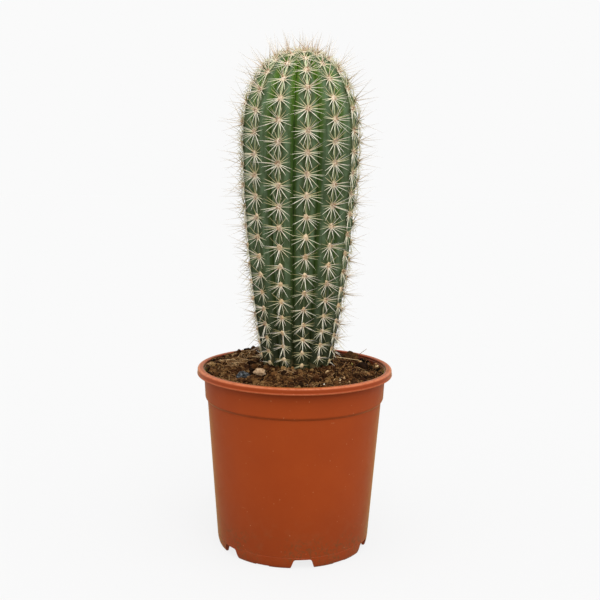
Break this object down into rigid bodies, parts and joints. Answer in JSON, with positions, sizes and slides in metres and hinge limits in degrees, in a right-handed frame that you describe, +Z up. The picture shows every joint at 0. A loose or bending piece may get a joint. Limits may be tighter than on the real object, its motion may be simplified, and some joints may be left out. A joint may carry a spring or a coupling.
{
  "type": "potted tall cactus",
  "caption": "Ribbed column cactus with star-like spine clusters, standing in peat soil in a round plastic nursery pot with notched feet.",
  "frame": {"origin": "on the ground under the middle of the pot", "axes": "+Z up along the pot's axis and the stem, -Y to the front of the view, +X to the right"},
  "size_m": [0.17, 0.17, 0.4416],
  "materials": {
    "pot_plastic": "satin",
    "peat_soil": "rough",
    "cactus_skin": "satin",
    "grey_stone": "rough",
    "tan_stone": "rough"
  },
  "bodies": {
    "root": {"pot": "pot_plastic", "soil": "peat_soil", "cactus": "cactus_skin", "stone_grey": "grey_stone", "stone_tan": "tan_stone", "clod_dark": "peat_soil", "clod_brown": "peat_soil", "clod_back": "peat_soil"}
  },
  "joints": []
}
